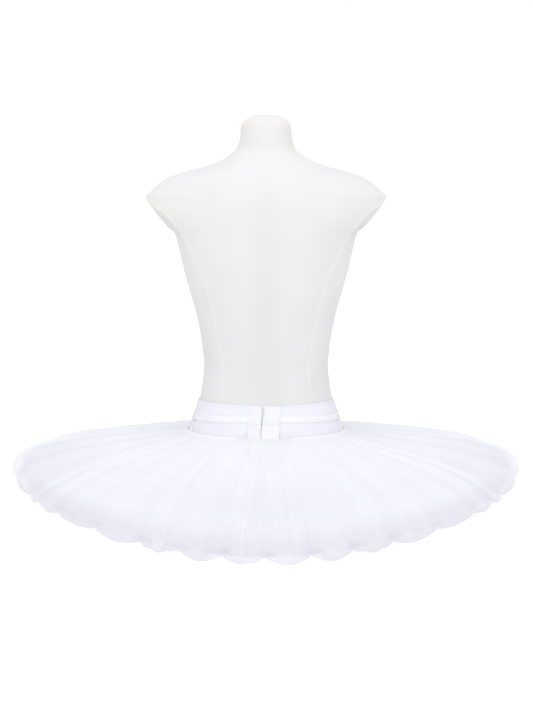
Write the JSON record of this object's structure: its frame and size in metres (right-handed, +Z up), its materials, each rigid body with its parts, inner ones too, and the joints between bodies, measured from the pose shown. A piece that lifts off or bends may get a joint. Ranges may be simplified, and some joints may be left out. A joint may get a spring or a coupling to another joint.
{
  "type": "ballet tutu on dress form",
  "caption": "White practice tutu with a basque, waist tape and flat plate of layered gathered net, sitting on a limbless dress form that stands on its flat base.",
  "frame": {"origin": "middle of the dress form's flat base, on the surface it stands on", "axes": "+Z up; +Y towards the back of the garment, where it opens; +X towards the wearer's left"},
  "size_m": [0.905, 0.9032, 0.7604],
  "materials": {
    "form_cover": "white stretched jersey over a hard shell",
    "basque_satin": "cool white satin",
    "cotton_tape": "matte white woven tape",
    "placket_cloth": "stiff matte white cotton",
    "nylon_net": "stiff white nylon net"
  },
  "bodies": {
    "root": {"dress_form": "form_cover", "basque_front": "basque_satin", "basque_back_left": "basque_satin", "basque_back_right": "basque_satin", "hip_yoke": "basque_satin", "waist_tape": "cotton_tape", "side_tape_left": "cotton_tape", "side_tape_right": "cotton_tape", "placket_left": "placket_cloth", "placket_right": "placket_cloth", "placket_underlap": "placket_cloth", "net_1": "nylon_net", "net_2": "nylon_net", "net_3": "nylon_net", "net_4": "nylon_net", "net_5": "nylon_net"}
  },
  "joints": []
}
